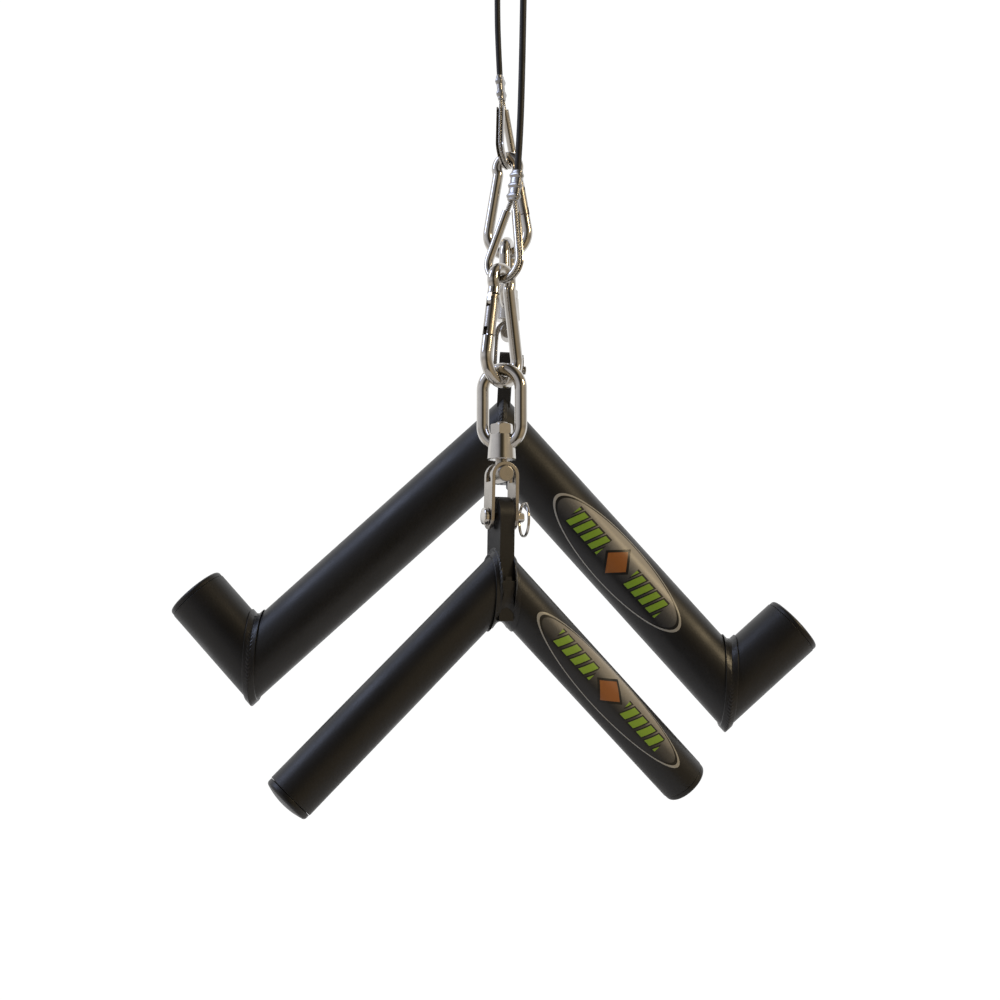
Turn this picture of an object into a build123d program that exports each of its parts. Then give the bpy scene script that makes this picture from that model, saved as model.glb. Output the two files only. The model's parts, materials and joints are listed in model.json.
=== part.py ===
from build123d import *
import os
from math import asin, atan2, cos, pi, radians, sin, sqrt, tan

# Two hanging V-shaped pull bars, each on its own jacketed wire rope, snap hook, swivel eye and
# toggle clevis, under one ceiling hanger. Millimetres, +Z up, +Y away from the person who
# pulls. The origin is the middle of the hanger plate's top face, between its two bolts.

os.makedirs("parts", exist_ok=True)

# ---- ceiling hanger -------------------------------------------------------------------------
PLATE_X, PLATE_Y, PLATE_T = 60.0, 210.0, 8.0
PLATE_CORNER_R = 10.0
BOLT_SPACING, BOLT_HOLE_R = 170.0, 5.5
EYE_WIRE_R, EYE_RING_R, EYE_SHANK_R = 3.5, 12.0, 4.0
EYE_RING_Z = -29.5
LOCKNUT_H = 5.0
NUT_FLATS = 13.0
THREAD_GAP = 0.05

# ---- wire rope, its loops and ferrules -------------------------------------------------------
ROPE_R, JACKET_R = 1.6, 2.2
THIMBLE_R, THIMBLE_T, THIMBLE_W = 9.5, 1.0, 6.2
THIMBLE_LIP = 1.2
ROPE_BED_R = THIMBLE_R + THIMBLE_T + ROPE_R
THIMBLE_END = 6.0
FERRULE_R, BULGE_R, BULGE_L = 2.6, 3.2, 4.8
LOOP_GAP = {"lower": 0.4, "upper": 0.8}

# ---- snap hook, heights above the toggle's cross-bar -------------------------------------------
HOOK_R = 4.0
HOOK_TOP, HOOK_BOTTOM = 135.5, 54.7
HOOK_WIDE_R, HOOK_NARROW_R = 15.0, 8.2
HOOK_WAIST_R, HOOK_NECK_R = 6.4, 6.0
GATE_NOSE_Z, GATE_HEEL_Z, RIVET_Z = 86.1, 114.0, 109.2
GATE_GAP = 0.4
TONGUE_T, TONGUE_R = 3.0, 3.6
GATE_SLOT_T, GATE_SLOT_L = 3.5, 9.0
RIVET_R = 1.25
KEY_T, KEY_W, KEY_H = 2.4, 4.0, 4.0
SPRING_R, SPRING_L, SPRING_BORE_R = 0.6, 12.0, 1.3

# ---- swivel eye and toggle bolt ---------------------------------------------------------------
RING_R, RING_BEND_R = 4.0, 13.0
RING_TOP, RING_BOTTOM = 71.1, 14.0
BARREL_TOP, BARREL_BOTTOM = 25.2, 9.2
BARREL_TOP_R, BARREL_BOTTOM_R = 8.0, 9.1
NUT_POCKET_R, NUT_H = 8.1, 6.5
STEM_R, STEM_BORE_R, STEM_TOP = 4.0, 4.08, 33.2
CROSSBAR_R, CROSSBAR_L = 5.2, 18.0

# ---- toggle strap, clevis pin and split ring ------------------------------------------------------
STRAP_IN_R, STRAP_T, STRAP_W = 6.7, 2.2, 16.0
STRAP_BEND_Z = -1.3
STRAP_SLOT_W, STRAP_SLOT_BOTTOM = 8.8, -5.0
PIN_Z, PIN_R, PIN_HOLE_R = -27.0, 3.15, 3.25
STRAP_FOOT_X = 9.1
PIN_HEAD_R, PIN_HEAD_T, PIN_HEAD_EDGE, PIN_END_X = 5.6, 3.0, 1.4, 15.0
CROSS_HOLE_X, CROSS_HOLE_R = 12.2, 1.95
SPLIT_RING_R, SPLIT_WIRE_R, SPLIT_PITCH = 10.6, 0.62, 1.2
SPLIT_SAG, SPLIT_TURN = 10.0, -3.0

# ---- lug and tubes -----------------------------------------------------------------------------
LUG_T, LUG_W = 9.5, 25.4
BEAD_H, BEAD_W, FILL_PROUD = 1.2, 3.2, 0.6
ELBOW_BEAD_H, ELBOW_BEAD_W = 1.1, 4.3
CAP_SEAM, CAP_RIM, CAP_DOME, CAP_PLUG, CAP_INSET = 0.3, 2.2, 4.2, 12.0, 0.35
CAP_SHOULDER_R = 2.2
LABEL_T = 0.25
HALF_ANGLE = 45.0

# Each hanging set: where its cross-bar is, how the links are turned about Z, and its bar.
SETS = {
    "front": dict(
        at=(-6.1, -56.45, -481.3),
        hang_x=9.1,
        loop_yaw=-38.0, loop_lean=8.4, loop_x=1.4,
        loop_reach=39.5, ferrule_l=20.4, bulges=3,
        hook_yaw=50.0, gate_side=-1, eye_yaw=-22.0,
        bar_yaw=19.0, bar_roll=0.9,
        rope=[(11.7, 218.3), (12.95, 254.3), (14.2, 314.8)],
        tube_r=15.875, wall=2.5, stem=67.0, arm=187.5, stub=0.0, lug_end=-92.0,
        label_mid=97.0, label_l=138.0, label_w=26.0,
    ),
    "rear": dict(
        at=(-1.6, 56.45, -368.0),
        hang_x=-9.1,
        loop_yaw=68.0, loop_lean=-5.0, loop_x=-0.8,
        loop_reach=37.8, ferrule_l=19.0, bulges=2,
        hook_yaw=-18.0, gate_side=1, eye_yaw=80.0,
        bar_yaw=-1.0, bar_roll=3.0,
        rope=[(-6.9, 216.2), (-7.6, 241.5)],
        tube_r=22.225, wall=3.0, stem=78.0, arm=240.5, stub=69.0, lug_end=-111.0,
        label_mid=121.5, label_l=128.0, label_w=36.0,
    ),
}


def save(shape, node):
    """Write one node's solids to its own file."""
    export_step(shape, f"parts/{node}.step")


def along(point, direction, x_dir=None):
    """The placement that turns +Z onto a direction at a point."""
    return Plane(origin=point, z_dir=direction, x_dir=x_dir).location


def slab(x0, x1, size=900.0):
    """All the space between two planes of constant x."""
    return Pos((x0 + x1) / 2, 0, 0) * Box(x1 - x0, size, size)


def column(radius, z0, z1, x=0.0, y=0.0):
    """A vertical cylinder between two heights."""
    return Pos(x, y, (z0 + z1) / 2) * Cylinder(radius, z1 - z0)


def bar_sweep(path, section):
    """A section carried along a path, square to it from the start."""
    return sweep(Plane(origin=path @ 0, z_dir=path % 0) * section, path=path)


# ---- ceiling hanger ------------------------------------------------------------------------------
def hanger_plate():
    plate = Pos(0, 0, -PLATE_T / 2) * Box(PLATE_X, PLATE_Y, PLATE_T)
    plate = fillet(plate.edges().filter_by(Axis.Z), PLATE_CORNER_R)
    plate = chamfer(plate.faces().sort_by(Axis.Z)[0].edges(), 1.0)
    for side in (-1, 1):
        plate -= column(BOLT_HOLE_R, -PLATE_T - 1, 1, y=side * BOLT_SPACING / 2)
    for spec in SETS.values():
        plate -= column(EYE_SHANK_R + THREAD_GAP, -PLATE_T - 1, 1, spec["hang_x"], spec["at"][1])
    return plate


def hanger_eye(x, y):
    """A ring in the YZ plane under a shank that screws into the plate."""
    ring = Pos(x, y, EYE_RING_Z) * Rot(0, 90, 0) * Torus(EYE_RING_R, EYE_WIRE_R)
    shank = column(EYE_SHANK_R, EYE_RING_Z + EYE_RING_R, -0.5, x, y)
    return ring + shank


def hex_nut(z0, height, x, y, hole_r):
    """A hexagon nut with its edges turned down top and bottom."""
    corner = NUT_FLATS / sqrt(3)
    nut = Pos(0, 0, z0) * extrude(RegularPolygon(corner, 6), height)
    cone = Pos(0, 0, z0 + height / 2) * chamfer(
        Cylinder(corner + 0.2, height).edges(), 1.0, 1.0
    )
    return Pos(x, y, 0) * ((nut & cone) - column(hole_r, z0 - 1, z0 + height + 1))


# ---- rope loops ------------------------------------------------------------------------------------
def loop_path(top_z, bend_r):
    """Line, arc, line round a thimble: the loop's round end is at the origin, its throat above."""
    top_x = ROPE_R + 0.05
    swing = atan2(top_x, top_z) + radians(90) - asin(bend_r / sqrt(top_x**2 + top_z**2))
    px, pz = bend_r * sin(swing), bend_r * cos(swing)
    right = Line((top_x, 0, top_z), (px, 0, pz))
    bend = ThreePointArc((px, 0, pz), (0, 0, -bend_r), (-px, 0, pz))
    left = Line((-px, 0, pz), (-top_x, 0, top_z))
    return Wire([right, bend, left])


def rope_loop(spec):
    return bar_sweep(loop_path(spec["loop_reach"], ROPE_BED_R), Circle(ROPE_R))


def thimble(spec):
    """A half-round channel bent round the loop, open outwards, with its two ends cut square."""
    half = THIMBLE_W / 2
    path = loop_path(spec["loop_reach"], THIMBLE_R + half)
    bed = Plane(origin=path @ 0, z_dir=path % 0, x_dir=(0, 1, 0))
    outward = 1 if (bed.y_dir.X > 0) else -1
    mouth = Pos(0, outward * (THIMBLE_LIP + half)) * Rectangle(4 * half, 2 * half)
    channel = sweep(bed * (Circle(half) - Circle(half - THIMBLE_T) - mouth), path=path)
    cut = spec["loop_reach"] - THIMBLE_END
    return channel - Pos(0, 0, cut + 50) * Box(100, 100, 100)


def ferrule(spec):
    """A crimped double-barrel sleeve, standing on the loop's throat."""
    foot, length, bulges = spec["loop_reach"], spec["ferrule_l"], spec["bulges"]

    def barrels(radius, z0, height):
        shape = SlotCenterToCenter(2 * ROPE_R + 0.1, 2 * radius)
        return Pos(0, 0, z0) * extrude(shape, height)

    sleeve = barrels(FERRULE_R, foot, length)
    step = (length - bulges * BULGE_L) / (bulges + 1)
    for i in range(bulges):
        bulge = barrels(BULGE_R, foot + step + i * (BULGE_L + step), BULGE_L)
        ends = bulge.faces().sort_by(Axis.Z)
        sleeve += chamfer(ends[0].edges() + ends[-1].edges(), 0.5)
    return sleeve


def jacket(name, points):
    """The jacketed rope between its two ferrules, as straight runs joined by large arcs."""
    runs = [(b - a).length for a, b in zip(points, points[1:])]
    radii = []
    for i in range(1, len(points) - 1):
        turn = (points[i] - points[i - 1]).get_angle(points[i + 1] - points[i])
        radii.append(0.45 * min(runs[i - 1], runs[i]) / tan(radians(turn) / 2))
    path = FilletPolyline(*points, radius=radii)
    tube = bar_sweep(path, Circle(JACKET_R))
    print(name, "cord radii mm", [round(r) for r in radii], "length", round(path.length, 1))
    print(name, "volume ratio", round(tube.volume / (pi * JACKET_R**2 * path.length), 4))
    return tube


# ---- snap hook ------------------------------------------------------------------------------------
HOOK_LOW = HOOK_BOTTOM + HOOK_R + HOOK_WIDE_R
HOOK_HIGH = HOOK_TOP - HOOK_R - HOOK_NARROW_R
HOOK_SLOPE = asin((HOOK_WIDE_R - HOOK_WAIST_R) / (HOOK_HIGH - HOOK_LOW))


def hook_side(z, side):
    """The point at a height on the straight side of the hook's centre line."""
    x0 = HOOK_WIDE_R * cos(HOOK_SLOPE)
    z0 = HOOK_LOW + HOOK_WIDE_R * sin(HOOK_SLOPE)
    return Vector(side * (x0 - (z - z0) * tan(HOOK_SLOPE)), 0, z)


def on_side(z, side):
    """Placement on that side, with +Z along it upwards and +X away from the hook's middle."""
    up = (hook_side(z + 1, side) - hook_side(z, side)).normalized()
    return along(hook_side(z, side), up, x_dir=(up.Z * side, 0, -up.X * side))


def hook_neck(side):
    """The reverse bend under the round top: where it leaves the top, its middle, and where it ends."""
    out = HOOK_WAIST_R + HOOK_NECK_R
    down = sqrt((HOOK_NARROW_R + HOOK_NECK_R) ** 2 - out**2)

    def spot(across, below):
        x = across * cos(HOOK_SLOPE) + below * sin(HOOK_SLOPE)
        z = HOOK_HIGH + across * sin(HOOK_SLOPE) - below * cos(HOOK_SLOPE)
        return Vector(side * x, 0, z)

    centre, top, end = spot(out, down), Vector(0, 0, HOOK_HIGH), spot(HOOK_WAIST_R, down)
    start = centre + (top - centre).normalized() * HOOK_NECK_R
    middle = centre + ((start + end) * 0.5 - centre).normalized() * HOOK_NECK_R
    return start, middle, end


def snap_hook(side):
    low_z = HOOK_LOW + HOOK_WIDE_R * sin(HOOK_SLOPE)
    nose, low_gate, low_back = hook_side(GATE_NOSE_Z, side), hook_side(low_z, side), hook_side(low_z, -side)
    back_start, back_middle, back_end = hook_neck(-side)
    gate_start, gate_middle, gate_end = hook_neck(side)
    path = Wire([
        Line(nose, low_gate),
        ThreePointArc(low_gate, (0, 0, HOOK_LOW - HOOK_WIDE_R), low_back),
        Line(low_back, back_end),
        ThreePointArc(back_end, back_middle, back_start),
        ThreePointArc(back_start, (0, 0, HOOK_HIGH + HOOK_NARROW_R), gate_start),
        ThreePointArc(gate_start, gate_middle, gate_end),
        Line(gate_end, hook_side(GATE_HEEL_Z, side)),
    ])
    bar = bar_sweep(path, Circle(HOOK_R))
    pivot = on_side(RIVET_Z, side)
    drop = GATE_HEEL_Z - RIVET_Z + 1
    tongue = Pos(0, 0, drop / 2) * Box(2 * TONGUE_R, TONGUE_T, drop)
    tongue += Rot(90, 0, 0) * Cylinder(TONGUE_R, TONGUE_T)
    tongue &= Cylinder(HOOK_R, 30)
    tongue -= Rot(90, 0, 0) * Cylinder(RIVET_R, 20)
    key = Pos(0, 0, KEY_H / 2 - 1) * Box(KEY_W, KEY_T, KEY_H + 2)
    return bar + pivot * tongue + on_side(GATE_NOSE_Z, side) * key


def snap_gate(side):
    """The gate: forked over the hook's tongue, and slotted at its nose for the key."""
    length = RIVET_Z - GATE_NOSE_Z - GATE_GAP
    body = Pos(0, 0, -length / 2) * Cylinder(HOOK_R, length)
    body += (Rot(90, 0, 0) * Cylinder(HOOK_R, 20)) & Cylinder(HOOK_R, 20)
    body -= Pos(0, 0, 5 - GATE_SLOT_L / 2) * Box(20, GATE_SLOT_T, GATE_SLOT_L + 1)
    body -= Rot(90, 0, 0) * Cylinder(RIVET_R + 0.06, 20)
    reach = KEY_W / 2 + 0.6
    body -= Pos(10 - reach, 0, -length + KEY_H / 2) * Box(20, KEY_T + 0.7, KEY_H + 1.6)
    body -= column(SPRING_BORE_R, -TONGUE_R - 1.4 - SPRING_L - 1, 0)
    return on_side(RIVET_Z, side) * body


def gate_spring(side):
    """The spring leaf that stands in the gate's bore and pushes on the tongue."""
    rod = column(SPRING_R, -TONGUE_R - 1.0 - SPRING_L, -TONGUE_R - 0.4)
    return on_side(RIVET_Z, side) * rod


def gate_rivet(side):
    shaft = Rot(90, 0, 0) * Cylinder(RIVET_R, 2 * HOOK_R - 0.4)
    return on_side(RIVET_Z, side) * shaft


# ---- swivel eye, toggle bolt and nut -------------------------------------------------------------
def swivel_eye():
    high, low = RING_TOP - RING_R - RING_BEND_R, RING_BOTTOM + RING_R + RING_BEND_R
    b = RING_BEND_R
    path = Wire([
        Line((b, 0, low), (b, 0, high)),
        ThreePointArc((b, 0, high), (0, 0, high + b), (-b, 0, high)),
        Line((-b, 0, high), (-b, 0, low)),
        ThreePointArc((-b, 0, low), (0, 0, low - b), (b, 0, low)),
    ])
    ring = bar_sweep(path, Circle(RING_R))
    height = BARREL_TOP - BARREL_BOTTOM
    barrel = Cone(BARREL_BOTTOM_R, BARREL_TOP_R, height)
    barrel = chamfer(barrel.faces().sort_by(Axis.Z)[0].edges(), 0.6)
    eye = ring + Pos(0, 0, BARREL_BOTTOM + height / 2) * barrel
    eye -= column(NUT_POCKET_R, BARREL_TOP, BARREL_TOP + 9)
    return eye - column(STEM_BORE_R, 0, BARREL_TOP + 1)


def toggle_bolt():
    stem = column(STEM_R, 0, STEM_TOP)
    stem = chamfer(stem.faces().sort_by(Axis.Z)[-1].edges(), 0.8)
    bar = chamfer(Cylinder(CROSSBAR_R, CROSSBAR_L).edges().filter_by(GeomType.CIRCLE), 0.5)
    return stem + Rot(90, 0, 0) * bar


def swivel_nut():
    return hex_nut(BARREL_TOP + 0.1, NUT_H, 0, 0, STEM_R)


# ---- toggle strap, clevis pin, split ring -----------------------------------------------------------
def toggle_strap():
    """A strip bent over the cross-bar, with a slot in the bend for the stem and two round feet."""
    x_in, x_out = STRAP_FOOT_X - STRAP_T, STRAP_FOOT_X
    foot_z, bend_z = PIN_Z - STRAP_W / 2, STRAP_BEND_Z
    r_in, r_out = STRAP_IN_R, STRAP_IN_R + STRAP_T
    outline = Wire([
        Line((x_out, foot_z), (r_out, bend_z)),
        ThreePointArc((r_out, bend_z), (0, bend_z + r_out), (-r_out, bend_z)),
        Line((-r_out, bend_z), (-x_out, foot_z)),
        Line((-x_out, foot_z), (-x_in, foot_z)),
        Line((-x_in, foot_z), (-r_in, bend_z)),
        ThreePointArc((-r_in, bend_z), (0, bend_z + r_in), (r_in, bend_z)),
        Line((r_in, bend_z), (x_in, foot_z)),
        Line((x_in, foot_z), (x_out, foot_z)),
    ])
    strap = Rot(90, 0, 0) * extrude(Face(outline), STRAP_W / 2, both=True)
    keep = Pos(0, 0, PIN_Z / 2 + 10) * Box(60, STRAP_W, 20 - PIN_Z)
    keep += Pos(0, 0, PIN_Z) * Rot(0, 90, 0) * Cylinder(STRAP_W / 2, 60)
    strap &= keep
    strap -= Pos(0, 0, STRAP_SLOT_BOTTOM + 20) * Box(60, STRAP_SLOT_W, 40)
    return strap - Pos(0, 0, PIN_Z) * Rot(0, 90, 0) * Cylinder(PIN_HOLE_R, 60)


def clevis_pin():
    start = -STRAP_FOOT_X - 0.3
    body = Pos((start + PIN_END_X) / 2, 0, 0) * Rot(0, 90, 0) * chamfer(
        Cylinder(PIN_R, PIN_END_X - start).faces().sort_by(Axis.Z)[-1].edges(), 0.6
    )
    head = Rot(0, -90, 0) * Cylinder(PIN_HEAD_R, PIN_HEAD_T)
    head = fillet(head.faces().sort_by(Axis.X)[0].edges(), PIN_HEAD_EDGE)
    body += Pos(start - PIN_HEAD_T / 2, 0, 0) * head
    body -= Pos(CROSS_HOLE_X, 0, 0) * Cylinder(CROSS_HOLE_R, 20)
    return Pos(0, 0, PIN_Z) * body


def split_ring():
    """Two turns of wire side by side, through the pin's cross hole and out to the front."""
    turns = [
        Pos(side * SPLIT_PITCH / 2, 0, 0) * Rot(0, 90, 0) * Torus(SPLIT_RING_R, SPLIT_WIRE_R)
        for side in (-1, 1)
    ]
    ring = Pos(0, -SPLIT_RING_R, 0) * (turns[0] + turns[1])
    ring = Rot(SPLIT_SAG, 0, 0) * ring
    return Pos(CROSS_HOLE_X, 0, PIN_Z) * Rot(0, 0, SPLIT_TURN) * ring


# ---- the bar: lug, tubes, caps, welds and label ----------------------------------------------------
def arm_dir(side):
    return Vector(side * sin(radians(HALF_ANGLE)), 0, -cos(radians(HALF_ANGLE)))


def stub_dir(side):
    return Vector(side * cos(radians(HALF_ANGLE)), 0, sin(radians(HALF_ANGLE)))


def rod(point, direction, radius, back, ahead):
    """A cylinder about a line, from back behind a point to ahead in front of it."""
    middle = point + direction * ((ahead - back) / 2)
    return along(middle, direction) * Cylinder(radius, back + ahead)


def lug_plate(spec):
    length = PIN_Z - spec["lug_end"]
    plate = Pos(0, 0, PIN_Z - length / 2) * Box(LUG_T, LUG_W, length)
    plate += Pos(0, 0, PIN_Z) * Rot(0, 90, 0) * Cylinder(LUG_W / 2, LUG_T)
    return plate - Pos(0, 0, PIN_Z) * Rot(0, 90, 0) * Cylinder(PIN_HOLE_R, 60)


def bar_points(spec, side):
    """The apex of the centre lines, and the end or elbow of one arm."""
    apex = Vector(0, 0, -spec["stem"])
    return apex, apex + arm_dir(side) * spec["arm"]


def lug_room(spec):
    """What the tubes leave free for the lug."""
    if spec["stub"]:
        return Pos(0, 0, -spec["stem"]) * Box(LUG_T, LUG_W, 200)
    return slab(-LUG_T / 2, LUG_T / 2)


def arm_tube(spec, side):
    apex, far = bar_points(spec, side)
    r = spec["tube_r"]
    ahead = r if spec["stub"] else -(CAP_RIM + CAP_DOME)
    tube = rod(apex, arm_dir(side), r, r * 2, spec["arm"] + ahead)
    tube -= rod(apex, arm_dir(side), r - spec["wall"], r * 3, spec["arm"] + 2 * r)
    edge = abs(far.X) if spec["stub"] else 500.0
    tube &= slab(0, edge) if side > 0 else slab(-edge, 0)
    return tube - lug_room(spec)


def stub_tube(spec, side):
    _, elbow = bar_points(spec, side)
    r = spec["tube_r"]
    tube = rod(elbow, stub_dir(side), r, r * 2, spec["stub"] - CAP_RIM - CAP_DOME)
    tube -= rod(elbow, stub_dir(side), r - spec["wall"], r * 3, spec["stub"] + r)
    edge = abs(elbow.X)
    return tube & (slab(edge, 500) if side > 0 else slab(-500, -edge))


def end_cap(spec, side):
    """A domed plug: a thin rim on the tube's end, a dome outside and a skirt inside."""
    rim_r, plug_r = spec["tube_r"] - CAP_INSET, spec["tube_r"] - spec["wall"] - 0.1
    top = CAP_RIM + CAP_DOME
    flat = rim_r - CAP_SHOULDER_R
    dome_r = (flat**2 + CAP_DOME**2 - CAP_SHOULDER_R**2) / (2 * (CAP_DOME - CAP_SHOULDER_R))
    slope = asin(flat / (dome_r - CAP_SHOULDER_R))

    def on_arc(x, z, radius, angle):
        return (x + radius * sin(angle), z + radius * cos(angle))

    turn = on_arc(flat, CAP_RIM, CAP_SHOULDER_R, slope)
    half_turn = on_arc(flat, CAP_RIM, CAP_SHOULDER_R, (slope + pi / 2) / 2)
    half_dome = on_arc(0, top - dome_r, dome_r, slope / 2)
    profile = Wire([
        Line((0, -1), (plug_r - 3, -1)),
        Line((plug_r - 3, -1), (plug_r - 3, -CAP_PLUG)),
        Line((plug_r - 3, -CAP_PLUG), (plug_r, -CAP_PLUG)),
        Line((plug_r, -CAP_PLUG), (plug_r, CAP_SEAM)),
        Line((plug_r, CAP_SEAM), (rim_r, CAP_SEAM)),
        Line((rim_r, CAP_SEAM), (rim_r, CAP_RIM)),
        ThreePointArc((rim_r, CAP_RIM), half_turn, turn),
        ThreePointArc(turn, half_dome, (0, top)),
        Line((0, top), (0, -1)),
    ])
    cap = revolve(Plane.XZ * Face(profile), Axis.Z)
    _, far = bar_points(spec, side)
    heading = arm_dir(side)
    if spec["stub"]:
        far = far + stub_dir(side) * spec["stub"]
        heading = stub_dir(side)
    return along(far - heading * top, heading) * cap


def bead_band(point, direction, r, height, x0, x1):
    """A raised band on a tube between two planes of constant x."""
    band = rod(point, direction, r + height, 2 * r + 20, 2 * r + 20)
    band -= rod(point, direction, r, 2 * r + 30, 2 * r + 30)
    return band & slab(min(x0, x1), max(x0, x1))


def apex_welds(spec):
    """Beads round both tube ends beside the lug, and the fill over its narrow edges."""
    r = spec["tube_r"]
    apex = Vector(0, 0, -spec["stem"])
    inner = 0.0 if spec["stub"] else LUG_T / 2
    solids = []
    for side in (-1, 1):
        edge = side * (inner + BEAD_W)
        band = bead_band(apex, arm_dir(side), r, BEAD_H, side * inner, edge)
        solids.append(band - Pos(0, 0, apex.Z) * Box(LUG_T, LUG_W, 200))
    if spec["stub"]:
        return Compound(solids)
    oval = Pos(0, apex.Z) * Ellipse(r + FILL_PROUD, r * sqrt(2) + FILL_PROUD)
    throat = extrude(Plane.YZ.offset(-LUG_T / 2) * oval, LUG_T)
    throat &= Pos(0, 0, apex.Z - 50) * Box(LUG_T, 100, 100)
    throat -= Pos(0, 0, apex.Z) * Box(LUG_T, LUG_W, 2 * (apex.Z - spec["lug_end"]))
    solids.extend(throat.solids())
    return Compound(solids)


def elbow_welds(spec):
    """A broad band round each mitred elbow."""
    r = spec["tube_r"]
    solids = []
    for side in (-1, 1):
        _, elbow = bar_points(spec, side)
        x = elbow.X
        inner = bead_band(elbow, arm_dir(side), r, ELBOW_BEAD_H, x - side * ELBOW_BEAD_W, x)
        outer = bead_band(elbow, stub_dir(side), r, ELBOW_BEAD_H, x, x + side * ELBOW_BEAD_W)
        solids.append(inner + outer)
    return Compound(solids)


def label(spec):
    """A thin oval label laid round the front of the right arm."""
    apex = Vector(0, 0, -spec["stem"])
    heading = arm_dir(1)
    r = spec["tube_r"]
    skin = rod(apex, heading, r + LABEL_T, 0, spec["arm"])
    skin -= rod(apex, heading, r, 10, spec["arm"] + 10)
    middle = apex + heading * spec["label_mid"]
    face = Plane(origin=middle, x_dir=heading, z_dir=(0, -1, 0))
    oval = extrude(face * Ellipse(spec["label_l"] / 2, spec["label_w"] / 2), 2 * r)
    return skin & oval


# ---- put every node in its place -----------------------------------------------------------------
def build_set(name, spec):
    """All nodes of one hanging set, as node name to shape in the part's frame."""
    x, y, z = spec["at"]
    home = Pos(x, y, z)
    nodes = {}

    low_loop = home * Pos(spec["loop_x"], 0, HOOK_TOP - 2 * HOOK_R - LOOP_GAP["lower"] + THIMBLE_R)
    low_loop *= Rot(0, spec["loop_lean"], 0) * Rot(0, 0, spec["loop_yaw"])
    high_loop = Pos(spec["hang_x"], y, EYE_RING_Z - EYE_RING_R + EYE_WIRE_R + LOOP_GAP["upper"])
    high_loop *= Pos(0, 0, -THIMBLE_R) * Rot(180, 0, 0)
    for level, place in (("lower", low_loop), ("upper", high_loop)):
        nodes[f"{name}_{level}_thimble"] = place * thimble(spec)
        nodes[f"{name}_{level}_rope_loop"] = place * rope_loop(spec)
        nodes[f"{name}_{level}_ferrule"] = place * ferrule(spec)
    tip = Vector(0, 0, spec["loop_reach"] + spec["ferrule_l"])
    ends = [(place * Pos(tip.X, tip.Y, tip.Z)).position for place in (low_loop, high_loop)]
    middle = [Vector(x + px, y, z + pz) for px, pz in spec["rope"]]
    nodes[f"{name}_jacketed_rope"] = jacket(name, [ends[0], *middle, ends[1]])

    hook = home * Rot(0, 0, spec["hook_yaw"])
    side = spec["gate_side"]
    nodes[f"{name}_snap_hook"] = hook * snap_hook(side)
    nodes[f"{name}_gate_rivet"] = hook * gate_rivet(side)
    nodes[f"{name}_snap_gate"] = hook * snap_gate(side)
    nodes[f"{name}_gate_spring"] = hook * gate_spring(side)

    nodes[f"{name}_swivel_eye"] = home * Rot(0, 0, spec["eye_yaw"]) * swivel_eye()
    bolt = home * Rot(0, 0, spec["bar_yaw"])
    nodes[f"{name}_toggle_bolt"] = bolt * toggle_bolt()
    nodes[f"{name}_swivel_nut"] = bolt * swivel_nut()

    bar = bolt * Rot(0, spec["bar_roll"], 0)
    nodes[f"{name}_toggle_strap"] = bar * toggle_strap()
    nodes[f"{name}_clevis_pin"] = bar * clevis_pin()
    nodes[f"{name}_split_ring"] = bar * split_ring()
    nodes[f"{name}_lug_plate"] = bar * lug_plate(spec)
    nodes[f"{name}_apex_welds"] = bar * apex_welds(spec)
    nodes[f"{name}_label"] = bar * label(spec)
    for word, side in (("left", -1), ("right", 1)):
        nodes[f"{name}_{word}_arm_tube"] = bar * arm_tube(spec, side)
        nodes[f"{name}_{word}_end_cap"] = bar * end_cap(spec, side)
        if spec["stub"]:
            nodes[f"{name}_{word}_stub_tube"] = bar * stub_tube(spec, side)
    if spec["stub"]:
        nodes[f"{name}_elbow_welds"] = bar * elbow_welds(spec)
    return nodes


def build_all():
    nodes = {"hanger_plate": hanger_plate()}
    for name, spec in SETS.items():
        x, y = spec["hang_x"], spec["at"][1]
        nodes[f"{name}_hanger_eye"] = hanger_eye(x, y)
        top = -PLATE_T - LOCKNUT_H
        nodes[f"{name}_eye_locknut"] = hex_nut(top, LOCKNUT_H, x, y, EYE_SHANK_R + THREAD_GAP)
        nodes.update(build_set(name, spec))
    return nodes


for node_name, node_shape in build_all().items():
    save(node_shape, node_name)
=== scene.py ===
"""Finishes, wire rope, welds and labels of two hanging pull bars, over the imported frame. Metres, +Z up."""

import json
from math import asin, atan2, cos, pi, radians, sin, sqrt, tau

import bmesh
import bpy
from mathutils import Matrix, Vector


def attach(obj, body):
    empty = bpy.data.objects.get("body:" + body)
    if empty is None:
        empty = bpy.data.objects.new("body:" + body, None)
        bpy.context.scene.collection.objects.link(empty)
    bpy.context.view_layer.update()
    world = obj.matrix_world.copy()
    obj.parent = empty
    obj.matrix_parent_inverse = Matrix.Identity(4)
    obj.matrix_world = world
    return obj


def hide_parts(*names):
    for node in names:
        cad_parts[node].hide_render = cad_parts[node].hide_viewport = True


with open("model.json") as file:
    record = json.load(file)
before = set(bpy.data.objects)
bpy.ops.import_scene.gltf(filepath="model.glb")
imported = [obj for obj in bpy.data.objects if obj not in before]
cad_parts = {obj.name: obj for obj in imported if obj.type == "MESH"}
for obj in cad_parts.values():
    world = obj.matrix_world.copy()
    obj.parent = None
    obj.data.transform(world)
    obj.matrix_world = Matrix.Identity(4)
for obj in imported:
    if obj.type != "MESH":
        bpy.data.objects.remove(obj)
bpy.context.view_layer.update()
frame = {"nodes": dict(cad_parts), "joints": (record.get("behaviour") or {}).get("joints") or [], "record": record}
scene = bpy.context.scene
MM = 0.001
JOINTS = {joint["name"]: joint for joint in frame["joints"]}
SLOTS = {part["node"]: part["material_slot"] for part in frame["record"]["subparts"]}
BODY_OF = {n: body for body, nodes in frame["record"]["behaviour"]["bodies"].items() for n in nodes}

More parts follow.
